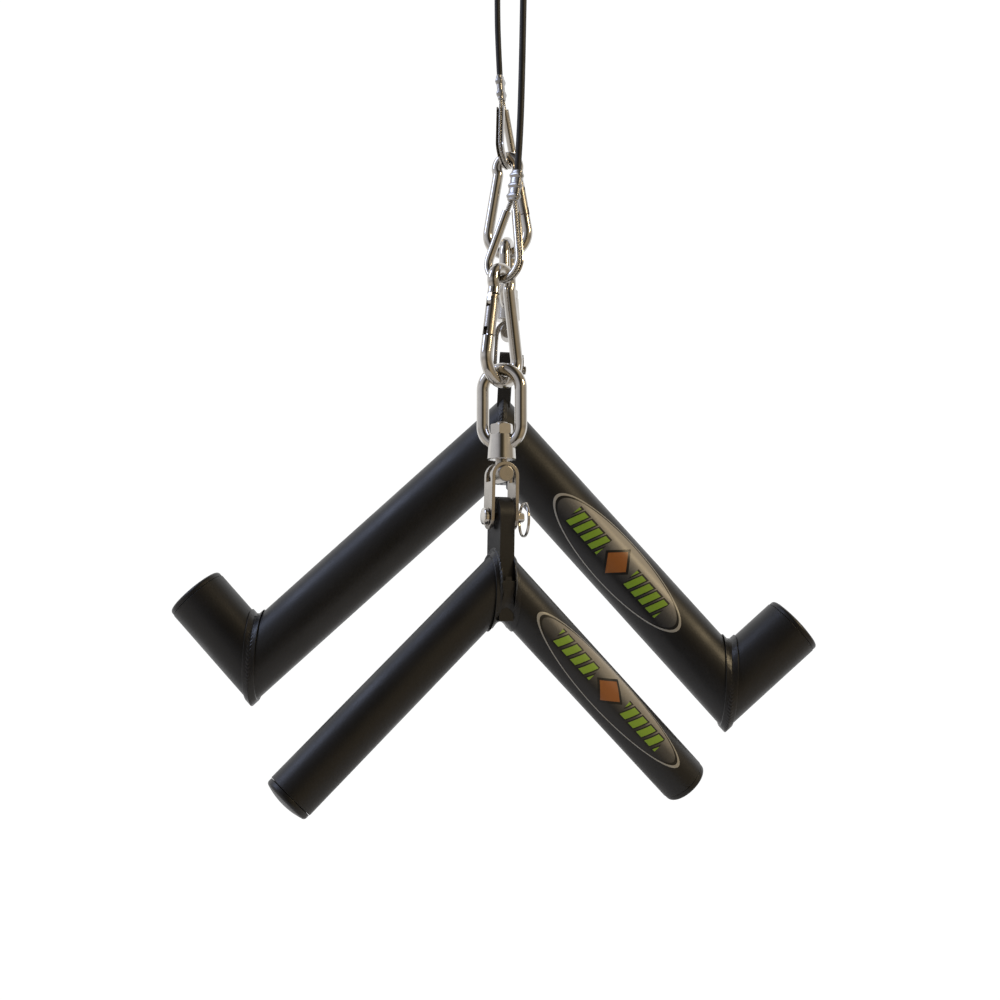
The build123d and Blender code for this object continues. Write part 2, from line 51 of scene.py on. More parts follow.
# ---- sizes that the frame doesn't state ----------------------------------------------------------
ROPE_R, JACKET_R = 1.6 * MM, 2.2 * MM
THIMBLE_R, THIMBLE_T, THIMBLE_W = 9.5 * MM, 1.0 * MM, 6.2 * MM
THIMBLE_END, THIMBLE_WRAP = 6.0 * MM, radians(112)
ROPE_BED_R = THIMBLE_R + THIMBLE_T + ROPE_R
FERRULE_R, FERRULE_RIB = 2.6 * MM, 0.55 * MM
HOOK_TOP, HOOK_R, LOWER_LOOP_GAP = 135.5 * MM, 4.0 * MM, 0.4 * MM
HANGER_LOOP_Z = -37.2 * MM
PIN_Z, CROSS_HOLE_X = -27.0 * MM, 12.2 * MM
SPLIT_RING_R, SPLIT_WIRE_R, SPLIT_PITCH = 10.6 * MM, 0.62 * MM, 1.2 * MM
SPLIT_SAG, SPLIT_TURN = radians(10.0), radians(-3.0)
LUG_T = 9.5 * MM
LABEL_T = 0.3 * MM
RIPPLE, OVAL_STRETCH, BEAD_SINK = 2.3 * MM, 1.2, 0.5 * MM
THROAT_FILL, THROAT_PROUD, THROAT_ROOT = 3.4 * MM, 0.3 * MM, 2.5 * MM
LABEL_SINK = 0.1 * MM

SETS = {
    "front": dict(
        loop_yaw=-38.0, loop_lean=8.4, loop_x=1.4, reach=39.5 * MM, ferrule_l=20.4 * MM, ribs=3,
        route=[(11.7, 218.3), (12.95, 254.3), (14.2, 314.8)], rope_length=0.179,
        tube_r=15.875 * MM, stem=67.0 * MM, arm=187.5 * MM, stub=0.0,
        label_mid=97.0 * MM, label_l=138.0 * MM, label_w=26.0 * MM,
    ),
    "rear": dict(
        loop_yaw=68.0, loop_lean=-5.0, loop_x=-0.8, reach=37.8 * MM, ferrule_l=19.0 * MM, ribs=2,
        route=[(-6.9, 216.2), (-7.6, 241.5)], rope_length=0.0714,
        tube_r=22.225 * MM, stem=78.0 * MM, arm=240.5 * MM, stub=69.0 * MM,
        label_mid=121.5 * MM, label_l=128.0 * MM, label_w=36.0 * MM,
    ),
}


# ---- camera, light and floor ---------------------------------------------------------------------
def make_camera():
    lens = bpy.data.cameras.new("camera")
    lens.sensor_width, lens.lens = 36.0, 42.62
    lens.clip_start, lens.clip_end = 0.05, 20.0
    camera = bpy.data.objects.new("camera", lens)
    camera.location = (-0.0072, -0.80285, -0.5432)
    camera.rotation_euler = (radians(93.5), 0.0, 0.0)
    scene.collection.objects.link(camera)
    scene.camera = camera


def softbox(name, place, aim, size, power, colour):
    lamp = bpy.data.lights.new(name, "AREA")
    lamp.shape, lamp.size, lamp.size_y = "RECTANGLE", size[0], size[1]
    lamp.energy, lamp.color = power, colour
    box = bpy.data.objects.new(name, lamp)
    box.location = place
    box.rotation_euler = (Vector(aim) - Vector(place)).to_track_quat("-Z", "Y").to_euler()
    box.visible_camera = False
    scene.collection.objects.link(box)


def studio_world():
    """White for the camera; for reflections a white wall behind the bars and a dim warm room before them."""
    world = bpy.data.worlds.new("studio")
    world.use_nodes = True
    scene.world = world
    net = world.node_tree
    net.nodes.clear()
    place = net.nodes.new("ShaderNodeTexCoord")
    split = net.nodes.new("ShaderNodeSeparateXYZ")
    net.links.new(place.outputs["Generated"], split.inputs[0])
    wall = net.nodes.new("ShaderNodeMapRange")
    wall.interpolation_type = "SMOOTHSTEP"
    wall.inputs["From Min"].default_value = 0.1
    wall.inputs["From Max"].default_value = 0.5
    net.links.new(split.outputs["Y"], wall.inputs["Value"])
    room_shade = net.nodes.new("ShaderNodeMix")
    room_shade.data_type, room_shade.blend_type = "RGBA", "MULTIPLY"
    room_shade.inputs[0].default_value = 1.0
    up_and_down = [(0.0, (0.35, 0.33, 0.30)), (0.4, (0.75, 0.70, 0.62)), (0.5, (0.5, 0.48, 0.45)),
                   (0.6, (0.8, 0.8, 0.8)), (0.75, (0.3, 0.29, 0.28)), (1.0, (0.9, 0.9, 0.92))]
    left_to_right = [(0.0, (0.95, 0.96, 1.0)), (0.25, (0.62, 0.62, 0.66)), (0.42, (0.05, 0.045, 0.035)),
                     (0.58, (0.09, 0.075, 0.045)), (0.75, (0.7, 0.57, 0.38)), (1.0, (0.5, 0.44, 0.36))]
    for axis, stops, socket in (("Z", up_and_down, 6), ("X", left_to_right, 7)):
        level = net.nodes.new("ShaderNodeMapRange")
        level.inputs["From Min"].default_value, level.inputs["From Max"].default_value = -1.0, 1.0
        shade = net.nodes.new("ShaderNodeValToRGB")
        ramp = shade.color_ramp
        ramp.elements[0].color, ramp.elements[1].color = (*stops[0][1], 1), (*stops[-1][1], 1)
        for at, colour in stops[1:-1]:
            ramp.elements.new(at).color = (*colour, 1)
        net.links.new(split.outputs[axis], level.inputs["Value"])
        net.links.new(level.outputs[0], shade.inputs[0])
        net.links.new(shade.outputs[0], room_shade.inputs[socket])
    mix = net.nodes.new("ShaderNodeMix")
    mix.data_type = "RGBA"
    mix.inputs[7].default_value = (0.95, 0.95, 0.95, 1)
    net.links.new(wall.outputs[0], mix.inputs[0])
    net.links.new(room_shade.outputs[2], mix.inputs[6])
    room = net.nodes.new("ShaderNodeBackground")
    net.links.new(mix.outputs[2], room.inputs["Color"])
    paper = net.nodes.new("ShaderNodeBackground")
    paper.inputs["Color"].default_value = (1, 1, 1, 1)
    paper.inputs["Strength"].default_value = 1.05
    path = net.nodes.new("ShaderNodeLightPath")
    choose = net.nodes.new("ShaderNodeMixShader")
    net.links.new(path.outputs["Is Camera Ray"], choose.inputs[0])
    net.links.new(room.outputs[0], choose.inputs[1])
    net.links.new(paper.outputs[0], choose.inputs[2])
    out = net.nodes.new("ShaderNodeOutputWorld")
    net.links.new(choose.outputs[0], out.inputs["Surface"])


def make_floor():
    """A plain pale disc well under the bars."""
    work = bmesh.new()
    bmesh.ops.create_circle(work, cap_ends=True, radius=1.5, segments=96)
    mesh = bpy.data.meshes.new("floor")
    work.to_mesh(mesh)
    work.free()
    mesh.transform(Matrix.Translation((0, 0, -1.6)))
    floor = bpy.data.objects.new("floor", mesh)
    pale = bpy.data.materials.new("pale_floor")
    pale.use_nodes = True
    pale.node_tree.nodes["Principled BSDF"].inputs["Base Color"].default_value = (0.82, 0.82, 0.82, 1)
    pale.node_tree.nodes["Principled BSDF"].inputs["Roughness"].default_value = 0.8
    mesh.materials.append(pale)
    scene.collection.objects.link(floor)


# ---- shader groups -------------------------------------------------------------------------------
def shader_group(name, inputs, outputs):
    group = bpy.data.node_groups.new(name, "ShaderNodeTree")
    for label, kind, value in inputs:
        socket = group.interface.new_socket(label, in_out="INPUT", socket_type=kind)
        if value is not None:
            socket.default_value = value
    for label, kind in outputs:
        group.interface.new_socket(label, in_out="OUTPUT", socket_type=kind)
    return group, group.nodes.new("NodeGroupInput"), group.nodes.new("NodeGroupOutput")


def grain_group():
    """Fine lumps: a value from 0 to 1, and the normal that they give."""
    group, given, out = shader_group(
        "fine_grain",
        [("Vector", "NodeSocketVector", None), ("Scale", "NodeSocketFloat", 700.0),
         ("Strength", "NodeSocketFloat", 0.2), ("Height", "NodeSocketFloat", 0.0002)],
        [("Value", "NodeSocketFloat"), ("Normal", "NodeSocketVector")],
    )
    noise = group.nodes.new("ShaderNodeTexNoise")
    noise.inputs["Detail"].default_value = 4.0
    noise.inputs["Roughness"].default_value = 0.65
    bump = group.nodes.new("ShaderNodeBump")
    group.links.new(given.outputs["Vector"], noise.inputs["Vector"])
    group.links.new(given.outputs["Scale"], noise.inputs["Scale"])
    group.links.new(given.outputs["Strength"], bump.inputs["Strength"])
    group.links.new(given.outputs["Height"], bump.inputs["Distance"])
    group.links.new(noise.outputs["Fac"], bump.inputs["Height"])
    group.links.new(noise.outputs["Fac"], out.inputs["Value"])
    group.links.new(bump.outputs["Normal"], out.inputs["Normal"])
    return group


def patches_group():
    """Broad soft patches that move a value between two limits."""
    group, given, out = shader_group(
        "soft_patches",
        [("Vector", "NodeSocketVector", None), ("Scale", "NodeSocketFloat", 30.0),
         ("Low", "NodeSocketFloat", 0.3), ("High", "NodeSocketFloat", 0.5)],
        [("Value", "NodeSocketFloat")],
    )
    noise = group.nodes.new("ShaderNodeTexNoise")
    noise.inputs["Detail"].default_value = 6.0
    spread = group.nodes.new("ShaderNodeMapRange")
    spread.inputs["From Min"].default_value, spread.inputs["From Max"].default_value = 0.3, 0.7
    group.links.new(given.outputs["Vector"], noise.inputs["Vector"])
    group.links.new(given.outputs["Scale"], noise.inputs["Scale"])
    group.links.new(given.outputs["Low"], spread.inputs["To Min"])
    group.links.new(given.outputs["High"], spread.inputs["To Max"])
    group.links.new(noise.outputs["Fac"], spread.inputs["Value"])
    group.links.new(spread.outputs[0], out.inputs["Value"])
    return group


GRAIN, PATCHES = grain_group(), patches_group()
TINT = 0.12


def surface(name, colour, rough, metal, grain, patch):
    """A finish: rough is its two roughness limits, grain its scale, strength and height in mm."""
    finish = bpy.data.materials.new(name)
    finish.use_nodes = True
    net = finish.node_tree
    shader = net.nodes["Principled BSDF"]
    shader.inputs["Metallic"].default_value = metal
    place = net.nodes.new("ShaderNodeTexCoord")
    lumps = net.nodes.new("ShaderNodeGroup")
    lumps.node_tree = GRAIN
    lumps.inputs["Scale"].default_value = grain[0]
    lumps.inputs["Strength"].default_value = grain[1]
    lumps.inputs["Height"].default_value = grain[2] * MM
    net.links.new(place.outputs["Object"], lumps.inputs["Vector"])
    net.links.new(lumps.outputs["Normal"], shader.inputs["Normal"])
    broad = net.nodes.new("ShaderNodeGroup")
    broad.node_tree = PATCHES
    broad.inputs["Scale"].default_value = patch
    broad.inputs["Low"].default_value, broad.inputs["High"].default_value = rough
    net.links.new(place.outputs["Object"], broad.inputs["Vector"])
    net.links.new(broad.outputs["Value"], shader.inputs["Roughness"])
    shade = net.nodes.new("ShaderNodeMix")
    shade.data_type = "RGBA"
    shade.inputs[6].default_value = (*[c * (1 - TINT) for c in colour], 1)
    shade.inputs[7].default_value = (*[min(1.0, c * (1 + TINT)) for c in colour], 1)
    net.links.new(lumps.outputs["Value"], shade.inputs[0])
    net.links.new(shade.outputs[2], shader.inputs["Base Color"])
    return finish


def printed_label(name):
    """A silvered oval sticker with a printed rim, two groups of slanted lime bars and a lozenge, over a grey ground
    that is a painted reflection and painted shade: light at its upper edge and near black at its lower edge.
    """
    finish = bpy.data.materials.new(name)
    finish.use_nodes = True
    net = finish.node_tree
    shader = net.nodes["Principled BSDF"]
    shader.inputs["Roughness"].default_value = 0.34
    shader.inputs["Metallic"].default_value = 0.0

    def sum_of(operation, first, second=0.0, third=0.0):
        step = net.nodes.new("ShaderNodeMath")
        step.operation = operation
        for socket, value in zip(step.inputs, (first, second, third)):
            if isinstance(value, (int, float)):
                socket.default_value = value
            else:
                net.links.new(value, socket)
        return step.outputs[0]

    def laid_over(mask, below, colour):
        mix = net.nodes.new("ShaderNodeMix")
        mix.data_type = "RGBA"
        net.links.new(mask, mix.inputs[0])
        net.links.new(below, mix.inputs[6])
        mix.inputs[7].default_value = (*colour, 1)
        return mix.outputs[2]

    spot = net.nodes.new("ShaderNodeUVMap")
    spot.uv_map = "oval"
    split = net.nodes.new("ShaderNodeSeparateXYZ")
    net.links.new(spot.outputs["UV"], split.inputs[0])
    along = sum_of("MULTIPLY_ADD", split.outputs["X"], 2.0, -1.0)
    across = sum_of("MULTIPLY_ADD", split.outputs["Y"], 2.0, -1.0)
    far = sum_of("SQRT", sum_of("ADD", sum_of("MULTIPLY", along, along), sum_of("MULTIPLY", across, across)))
    side, high = sum_of("ABSOLUTE", along), sum_of("ABSOLUTE", across)
    # Painted reflection and painted shade: the ground's grey runs from near black at the lower edge to light grey at
    # the upper edge, standing in for the silvered face's reflection; the print is laid over it below.
    shade = net.nodes.new("ShaderNodeValToRGB")
    shade.color_ramp.elements[0].position, shade.color_ramp.elements[0].color = 0.28, (0.018, 0.018, 0.02, 1)
    shade.color_ramp.elements[1].position, shade.color_ramp.elements[1].color = 0.9, (0.46, 0.44, 0.41, 1)
    shade.color_ramp.elements.new(0.55).color = (0.10, 0.10, 0.10, 1)
    speckle = net.nodes.new("ShaderNodeTexNoise")
    speckle.inputs["Scale"].default_value = 900.0
    place = net.nodes.new("ShaderNodeTexCoord")
    net.links.new(place.outputs["Object"], speckle.inputs["Vector"])
    grainy = sum_of("MULTIPLY_ADD", speckle.outputs["Fac"], 0.1, -0.05)
    net.links.new(sum_of("ADD", split.outputs["Y"], grainy), shade.inputs[0])
    slant = sum_of("FRACT", sum_of("MULTIPLY", sum_of("MULTIPLY_ADD", across, -0.09, along), 8.5))
    middle = sum_of("ABSOLUTE", sum_of("SUBTRACT", slant, 0.5))
    window = sum_of("LESS_THAN", sum_of("ABSOLUTE", sum_of("SUBTRACT", side, 0.47)), 0.255)
    outline = sum_of("MULTIPLY", window, sum_of("LESS_THAN", middle, 0.43))
    outline = sum_of("MULTIPLY", outline, sum_of("LESS_THAN", high, 0.46))
    bars = sum_of("MULTIPLY", window, sum_of("LESS_THAN", middle, 0.31))
    bars = sum_of("MULTIPLY", bars, sum_of("LESS_THAN", high, 0.38))
    lozenge = sum_of("ADD", sum_of("MULTIPLY", side, 6.4), sum_of("MULTIPLY", high, 1.5))
    colour = laid_over(outline, shade.outputs[0], (0.008, 0.008, 0.008))
    colour = laid_over(bars, colour, (0.27, 0.46, 0.045))
    colour = laid_over(sum_of("LESS_THAN", lozenge, 1.15), colour, (0.01, 0.01, 0.01))
    colour = laid_over(sum_of("LESS_THAN", lozenge, 0.92), colour, (0.36, 0.13, 0.035))
    colour = laid_over(sum_of("GREATER_THAN", far, 0.93), colour, (0.01, 0.01, 0.01))
    colour = laid_over(sum_of("GREATER_THAN", far, 0.965), colour, (0.42, 0.41, 0.38))
    net.links.new(colour, shader.inputs["Base Color"])
    return finish


# Each finish: colour, its two roughness limits, metal, grain (scale, strength, height in mm), patch scale.
FINISH_VALUES = {
    "black_powder_coat": ((0.007, 0.007, 0.008), (0.36, 0.5), 0.0, (900, 0.4, 0.25), 30.0),
    "bracket_black": ((0.016, 0.016, 0.017), (0.4, 0.55), 0.0, (800, 0.35, 0.2), 30.0),
    "weld_bead": ((0.012, 0.012, 0.0135), (0.26, 0.45), 0.0, (420, 0.6, 0.4), 30.0),
    "polished_steel": ((0.60, 0.575, 0.54), (0.07, 0.19), 1.0, (260, 0.08, 0.1), 60.0),
    "satin_steel": ((0.44, 0.41, 0.37), (0.22, 0.36), 1.0, (1500, 0.15, 0.05), 80.0),
    "wire_rope": ((0.58, 0.56, 0.52), (0.2, 0.34), 1.0, (2500, 0.2, 0.05), 200.0),
    "crimp_sleeve": ((0.42, 0.41, 0.40), (0.2, 0.36), 1.0, (500, 0.25, 0.15), 150.0),
    "rope_jacket": ((0.006, 0.006, 0.0065), (0.5, 0.62), 0.0, (300, 0.1, 0.1), 90.0),
    "moulded_cap": ((0.008, 0.008, 0.009), (0.34, 0.46), 0.0, (1100, 0.2, 0.1), 30.0),
}
FINISHES = {finish: surface(finish, *values) for finish, values in FINISH_VALUES.items()}
FINISHES["printed_label"] = printed_label("printed_label")


# ---- mesh helpers --------------------------------------------------------------------------------
def add_piece(mesh, name, finish, sharp=35.0):
    """An object with one finish, and its edges kept crisp above an angle, if one is given."""
    mesh.materials.clear()
    mesh.materials.append(finish)
    if sharp is not None:
        mesh.polygons.foreach_set("use_smooth", [True] * len(mesh.polygons))
        mesh.set_sharp_from_angle(angle=radians(sharp))
    piece = bpy.data.objects.new(name, mesh)
    scene.collection.objects.link(piece)
    return piece


def settle(piece, *nodes):
    """The piece stands for its CAD nodes, which are hidden, and moves with their body."""
    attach(piece, BODY_OF[nodes[0]])
    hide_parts(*nodes)
    return piece


def plain_mesh(piece, name):
    """What the piece's modifiers or nodes make, as a plain mesh, with the piece itself taken away."""
    bpy.context.view_layer.update()
    seen = piece.evaluated_get(bpy.context.evaluated_depsgraph_get())
    mesh = bpy.data.meshes.new_from_object(seen)
    mesh.name = name
    mesh.transform(piece.matrix_world)
    bpy.data.objects.remove(piece)
    return mesh


def dressed(node, edge=0.25, sharp=30.0):
    """A CAD node's own shape with its seams closed, its hard edges rounded and its faces smooth."""
    mesh = rounded(frame["nodes"][node].data.copy(), node, edge, sharp)
    return settle(add_piece(mesh, node + "_finished", FINISHES[SLOTS[node]], None), node)


def rounded(mesh, name, edge, sharp=30.0):
    """A CAD mesh with a small round on each hard edge, and flat faces that stay flat."""
    work = bmesh.new()
    work.from_mesh(mesh)
    bmesh.ops.remove_doubles(work, verts=work.verts, dist=2e-6)
    bmesh.ops.dissolve_limit(work, angle_limit=radians(0.2), verts=work.verts, edges=work.edges)
    work.to_mesh(mesh)
    work.free()
    blank = bpy.data.objects.new(name + "_blank", mesh)
    scene.collection.objects.link(blank)
    mesh.polygons.foreach_set("use_smooth", [True] * len(mesh.polygons))
    round_off = blank.modifiers.new("round_off", "BEVEL")
    round_off.width, round_off.segments = edge * MM, 2
    round_off.limit_method, round_off.angle_limit = "ANGLE", radians(sharp)
    round_off.use_clamp_overlap = True
    flats = blank.modifiers.new("flats", "WEIGHTED_NORMAL")
    flats.mode, flats.weight, flats.keep_sharp = "FACE_AREA", 50, True
    return plain_mesh(blank, name)


def loft(rings, closed=False):
    """A skin through rings of equal length, capped at both ends unless it closes on itself."""
    count = len(rings[0])
    verts = [tuple(point) for ring in rings for point in ring]
    faces = []
    for i in range(len(rings) if closed else len(rings) - 1):
        here, there = i * count, (i + 1) % len(rings) * count
        for k in range(count):
            after = (k + 1) % count
            faces.append((here + k, here + after, there + after, there + k))
    if not closed:
        faces.append(tuple(range(count))[::-1])
        faces.append(tuple((len(rings) - 1) * count + k for k in range(count)))
    mesh = bpy.data.meshes.new("loft")
    mesh.from_pydata(verts, [], faces)
    work = bmesh.new()
    work.from_mesh(mesh)
    bmesh.ops.recalc_face_normals(work, faces=work.faces)
    work.to_mesh(mesh)
    work.free()
    return mesh


def place_of(origin, x_dir, y_dir):
    axes = Matrix((x_dir, y_dir, x_dir.cross(y_dir))).transposed().to_4x4()
    return Matrix.Translation(origin) @ axes


def joined(meshes, name):
    """Several meshes as one."""
    work = bmesh.new()
    for mesh in meshes:
        work.from_mesh(mesh)
        bpy.data.meshes.remove(mesh)
    whole = bpy.data.meshes.new(name)
    work.to_mesh(whole)
    work.free()
    return whole


# ---- places of each set --------------------------------------------------------------------------
def toggle_home(name):
    """The toggle's cross-bar: its middle is the origin, and it lies along Y."""
    return Vector(JOINTS[f"{name}_strap_tilt"]["pos_m"])


def bar_place(name):
    x_dir = Vector(JOINTS[f"{name}_bar_swing"]["axis"]).normalized()
    y_dir = Vector(JOINTS[f"{name}_strap_tilt"]["axis"]).normalized()
    return place_of(toggle_home(name), x_dir, y_dir)


def loop_place(name, level):
    """Where a rope loop's round end is centred, with its throat along +Z."""
    spec = SETS[name]
    if level == "upper":
        hang = Vector(JOINTS[f"{name}_cable_swing"]["pos_m"])
        centre = Vector((hang.x, hang.y, HANGER_LOOP_Z - THIMBLE_R))
        return Matrix.Translation(centre) @ Matrix.Rotation(pi, 4, "X")
    up = HOOK_TOP - 2 * HOOK_R - LOWER_LOOP_GAP + THIMBLE_R
    centre = toggle_home(name) + Vector((spec["loop_x"] * MM, 0, up))
    lean = Matrix.Rotation(radians(spec["loop_lean"]), 4, "Y")
    return Matrix.Translation(centre) @ lean @ Matrix.Rotation(radians(spec["loop_yaw"]), 4, "Z")


def loop_points(reach, steps=26):
    """The rope's own line round the thimble, from one side of the throat to the other."""
    top_x = ROPE_R + 0.05 * MM
    swing = atan2(top_x, reach) + pi / 2 - asin(ROPE_BED_R / sqrt(top_x**2 + reach**2))
    foot = Vector((ROPE_BED_R * sin(swing), 0, ROPE_BED_R * cos(swing)))
    top = Vector((top_x, 0, reach))
    right = [top.lerp(foot, i / steps) for i in range(steps)]
    bend = []
    for i in range(steps * 2 + 1):
        angle = swing + (tau - 2 * swing) * i / (steps * 2)
        bend.append(Vector((ROPE_BED_R * sin(angle), 0, ROPE_BED_R * cos(angle))))
    left = [Vector((-p.x, 0, p.z)) for p in reversed(right)]
    return right + bend + left


# ---- wire rope -----------------------------------------------------------------------------------
def node_set(name, inputs):
    tree = bpy.data.node_groups.new(name, "GeometryNodeTree")
    tree.is_modifier = True
    tree.interface.new_socket("Geometry", in_out="INPUT", socket_type="NodeSocketGeometry")
    for label, kind, value in inputs:
        socket = tree.interface.new_socket(label, in_out="INPUT", socket_type=kind)
        if value is not None:
            socket.default_value = value
    tree.interface.new_socket("Geometry", in_out="OUTPUT", socket_type="NodeSocketGeometry")
    return tree, tree.nodes.new("NodeGroupInput"), tree.nodes.new("NodeGroupOutput")


def strands_tree():
    """Strands laid round a core along a curve, turning once in every lay length."""
    tree, given, out = node_set("wire_rope_strands", [
        ("Strands", "NodeSocketInt", 6), ("Lay radius", "NodeSocketFloat", 0.001),
        ("Strand radius", "NodeSocketFloat", 0.0006), ("Lay length", "NodeSocketFloat", 0.02),
        ("Finish", "NodeSocketMaterial", None),
    ])
    add, link = tree.nodes.new, tree.links.new
    steps = add("GeometryNodeResampleCurve")
    steps.mode = "LENGTH"
    steps.inputs["Length"].default_value = 0.45 * MM
    along = add("GeometryNodeSplineParameter")
    turns = add("ShaderNodeMath")
    turns.operation = "DIVIDE"
    angle = add("ShaderNodeMath")
    angle.operation = "MULTIPLY"
    angle.inputs[1].default_value = tau
    twist = add("GeometryNodeSetCurveTilt")
    ring = add("GeometryNodeCurvePrimitiveCircle")
    strand = add("GeometryNodeCurvePrimitiveCircle")
    strand.inputs["Resolution"].default_value = 9
    core = add("GeometryNodeCurvePrimitiveCircle")
    core.inputs["Resolution"].default_value = 10
    spread = add("GeometryNodeInstanceOnPoints")
    real = add("GeometryNodeRealizeInstances")
    bundle = add("GeometryNodeJoinGeometry")
    skin = add("GeometryNodeCurveToMesh")
    skin.inputs["Fill Caps"].default_value = True
    paint = add("GeometryNodeSetMaterial")
    link(given.outputs["Geometry"], steps.inputs["Curve"])
    link(along.outputs["Length"], turns.inputs[0])
    link(given.outputs["Lay length"], turns.inputs[1])
    link(turns.outputs[0], angle.inputs[0])
    link(steps.outputs[0], twist.inputs["Curve"])
    link(angle.outputs[0], twist.inputs["Tilt"])
    link(given.outputs["Strands"], ring.inputs["Resolution"])
    link(given.outputs["Lay radius"], ring.inputs["Radius"])
    link(given.outputs["Strand radius"], strand.inputs["Radius"])
    link(given.outputs["Strand radius"], core.inputs["Radius"])
    link(ring.outputs[0], spread.inputs["Points"])
    link(strand.outputs[0], spread.inputs["Instance"])
    link(spread.outputs[0], real.inputs[0])
    link(real.outputs[0], bundle.inputs[0])
    link(core.outputs[0], bundle.inputs[0])
    link(twist.outputs[0], skin.inputs["Curve"])
    link(bundle.outputs[0], skin.inputs["Profile Curve"])
    link(skin.outputs[0], paint.inputs["Geometry"])
    link(given.outputs["Finish"], paint.inputs["Material"])
    link(paint.outputs[0], out.inputs["Geometry"])
    return tree


STRANDS = strands_tree()


def grown(points, tree, values, name, cyclic=False):
    """The mesh that a node tree grows along a line of points."""
    line = bpy.data.curves.new(name + "_line", "CURVE")
    line.dimensions = "3D"
    spline = line.splines.new("POLY")
    spline.points.add(len(points) - 1)
    for point, spot in zip(spline.points, points):
        point.co = (*spot, 1)
    spline.use_cyclic_u = cyclic
    seed = bpy.data.objects.new(name + "_seed", line)
    scene.collection.objects.link(seed)
    nodes = seed.modifiers.new("grow", "NODES")
    nodes.node_group = tree
    for socket in tree.interface.items_tree:
        if socket.item_type == "SOCKET" and socket.in_out == "INPUT" and socket.name in values:
            nodes[socket.identifier] = values[socket.name]
    return plain_mesh(seed, name)


def wire_loop(name, level):
    place = loop_place(name, level)
    points = [place @ p for p in loop_points(SETS[name]["reach"])]
    node = f"{name}_{level}_rope_loop"
    finish = FINISHES["wire_rope"]
    values = {"Strands": 6, "Lay radius": 1.06 * MM, "Strand radius": 0.55 * MM, "Lay length": 11.0 * MM,
              "Finish": finish}
    mesh = grown(points, STRANDS, values, node + "_strands")
    return settle(add_piece(mesh, node + "_strands", finish, 60.0), node)


def thimble(name, level):
    """A rolled channel that holds the loop, with its two ends cut square."""
    place = loop_place(name, level)
    reach = SETS[name]["reach"]
    points = [p for p in loop_points(reach, 34) if p.z <= reach - THIMBLE_END]
    outer, steps = THIMBLE_W / 2, 14
    inner, lift = outer - THIMBLE_T, outer - THIMBLE_T - ROPE_R
    arc = [THIMBLE_WRAP * (2 * i / steps - 1) for i in range(steps + 1)]
    section = [(-outer * cos(a), outer * sin(a)) for a in arc]
    section += [(-inner * cos(a), inner * sin(a)) for a in reversed(arc)]
    side = place.to_3x3() @ Vector((0, 1, 0))
    rings = []
    for i, point in enumerate(points):
        run = (points[min(i + 1, len(points) - 1)] - points[max(i - 1, 0)]).normalized()
        outward = place.to_3x3() @ Vector((-run.z, 0, run.x))
        centre = place @ point
        if outward.dot(centre - place.translation) < 0:
            outward = -outward
        rings.append([centre + outward * (u + lift) + side * v for u, v in section])
    node = f"{name}_{level}_thimble"
    return settle(add_piece(loft(rings), node + "_channel", FINISHES["polished_steel"], 40.0), node)


def ferrule(name, level):
    """A double sleeve pressed flat between its raised ribs."""
    spec, place = SETS[name], loop_place(name, level)
    length, ribs = spec["ferrule_l"], spec["ribs"]
    rings, steps, turns = [], 72, 40
    for i in range(steps + 1):
        t = i / steps
        phase = (t * ribs) % 1.0 if t < 1.0 else 0.0
        rib = max(0.0, 1.0 - abs(phase - 0.5) / 0.24) ** 0.6
        end = min(t, 1.0 - t) * length / (0.9 * MM)
        taper = min(1.0, 0.82 + 0.18 * end)
        high = (FERRULE_R + FERRULE_RIB * rib) * taper
        wide = (ROPE_R + FERRULE_R + FERRULE_RIB * rib) * taper
        power = 2.4 + 1.6 * rib
        ring = []
        for k in range(turns):
            a = tau * k / turns
            x = wide * abs(cos(a)) ** (2 / power) * (1 if cos(a) >= 0 else -1)
            y = high * abs(sin(a)) ** (2 / power) * (1 if sin(a) >= 0 else -1)
            ring.append(place @ Vector((x, y, spec["reach"] + t * length)))
        rings.append(ring)
    node = f"{name}_{level}_ferrule"
    return settle(add_piece(loft(rings), node + "_crimped", FINISHES["crimp_sleeve"], 50.0), node)


def jacketed_rope(name):
    """The cable between its two ferrules, as one smooth line through the route's points."""
    spec = SETS[name]
    tip = Vector((0, 0, spec["reach"] + spec["ferrule_l"]))
    low, high = loop_place(name, "lower") @ tip, loop_place(name, "upper") @ tip
    home = toggle_home(name)
    middle = [home + Vector((x * MM, 0, z * MM)) for x, z in spec["route"]]
    points = [low, *middle, high][::-1]
    line = bpy.data.curves.new(f"{name}_cable", "CURVE")
    line.dimensions = "3D"
    line.bevel_depth, line.bevel_resolution, line.use_fill_caps = JACKET_R, 6, True
    line.resolution_u = 24
    spline = line.splines.new("NURBS")
    spline.points.add(len(points) - 1)
    for point, spot in zip(spline.points, points):
        point.co = (*spot, 1)
    spline.order_u = 3
    spline.use_endpoint_u = True
    line.materials.append(FINISHES["rope_jacket"])
    cable = bpy.data.objects.new(f"{name}_cable", line)
    scene.collection.objects.link(cable)
    settle(cable, f"{name}_jacketed_rope")
    return cable


